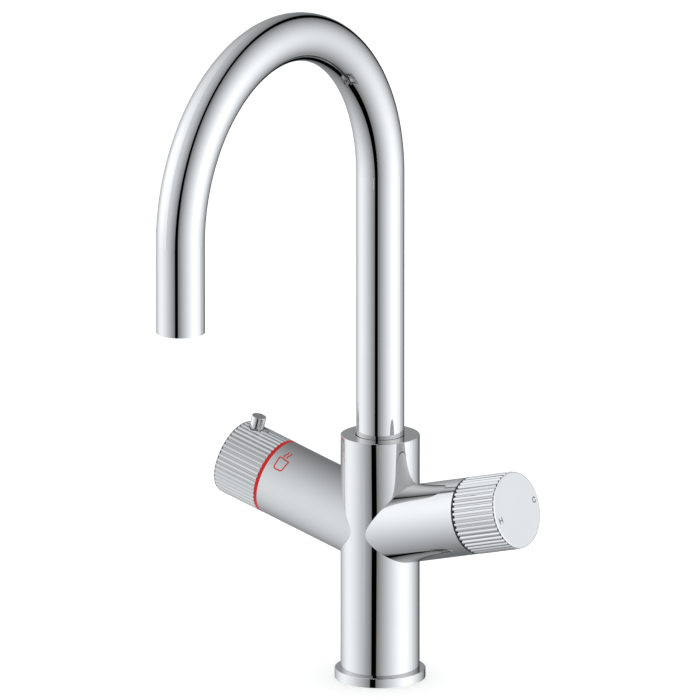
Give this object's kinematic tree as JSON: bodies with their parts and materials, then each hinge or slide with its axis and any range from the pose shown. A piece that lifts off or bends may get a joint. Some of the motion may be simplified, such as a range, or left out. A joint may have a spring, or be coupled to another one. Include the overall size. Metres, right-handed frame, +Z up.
{
  "type": "boiling water tap",
  "caption": "Upright chrome kitchen tap with a swan-neck spout and two raised side arms: a fluted mixer knob, and a fluted boiling-water knob with a safety button.",
  "frame": {"origin": "centre of the base's underside, on the worktop and on the body's axis", "axes": "+Z up along the body; the spout reaches towards -Y; the mixer arm towards +X and the boiling arm towards -X"},
  "size_m": [0.1981, 0.2265, 0.393],
  "materials": {
    "chrome_brass": "mirror polished chrome plate on brass",
    "button_chrome": "mirror polished chrome plate on turned brass",
    "cap_chrome": "chrome plate on a turned disc, very fine turning lines",
    "bare_brass": "turned brass, unplated",
    "black_plastic": "black slide plastic",
    "red_plastic": "red slide plastic, smooth",
    "white_plastic": "white moulded plastic",
    "ceramic": "ground and lapped alumina",
    "rubber": "moulded rubber",
    "steel": "stainless steel",
    "hose_liner": "heat-proof hose"
  },
  "bodies": {
    "tap": {"tap_body": "chrome_brass", "base_ring": "chrome_brass", "base_gasket": "rubber", "spout_set_screw": "steel", "boiling_nipple": "bare_brass", "mixer_cartridge_housing": "white_plastic", "mixer_port_seals": "rubber", "mixer_fixed_disc": "ceramic", "mixer_cartridge_cover": "white_plastic", "mixer_retaining_nut": "bare_brass", "mixer_black_ring": "black_plastic", "boil_headwork": "bare_brass", "boil_valve_cage": "bare_brass", "boil_seat_seal": "rubber", "boil_fixed_disc": "ceramic", "red_ring": "red_plastic", "lock_collar": "bare_brass", "lock_collar_clip": "steel"},
    "spout": {"spout_tube": "chrome_brass", "spout_spigot": "bare_brass", "spout_orings": "rubber", "spout_glide_ring": "white_plastic", "boiling_hose": "hose_liner", "hose_ferrules": "steel", "hose_tail": "bare_brass", "hose_tail_oring": "rubber", "outlet_bush": "bare_brass", "aerator_housing": "chrome_brass", "aerator_insert": "white_plastic", "aerator_washer": "rubber", "boiling_nozzle": "steel"},
    "mixer_knob_body": {"mixer_knob": "chrome_brass", "mixer_knob_cap": "cap_chrome", "mixer_cap_oring": "rubber", "mixer_knob_insert": "black_plastic", "mixer_knob_screw": "steel", "mixer_spindle": "bare_brass", "mixer_spindle_oring": "rubber", "mixer_moving_disc": "ceramic"},
    "boil_knob_body": {"boil_knob": "chrome_brass", "boil_knob_cap": "cap_chrome", "boil_knob_insert": "black_plastic", "boil_knob_screw": "steel", "boil_spindle": "bare_brass", "boil_spindle_orings": "rubber", "boil_moving_disc": "ceramic", "button_bush": "chrome_brass", "button_plug": "bare_brass", "button_spring": "steel"},
    "safety_button_body": {"safety_button": "button_chrome"}
  },
  "joints": [
    {"name": "spout_swivel", "type": "hinge", "parent": "tap", "child": "spout", "pos_m": [0, 0, 0], "axis": [0, 0, 1], "range_deg": [-75, 75]},
    {"name": "mixer_turn", "type": "hinge", "parent": "tap", "child": "mixer_knob_body", "pos_m": [0, 0, 0.0846], "axis": [0.9659, 0, 0.2588], "range_deg": [-90, 90]},
    {"name": "boiling_turn", "type": "hinge", "parent": "tap", "child": "boil_knob_body", "pos_m": [0, 0, 0.0846], "axis": [0.9659, 0, -0.2588], "range_deg": [0, 90]},
    {"name": "safety_press", "type": "slide", "parent": "boil_knob_body", "child": "safety_button_body", "axis": [-0.2588, 0, -0.9659], "range_m": [0, 0.0025], "stiffness_N_per_m": 400, "springref_m": -0.004, "deforming": ["button_spring"]}
  ]
}
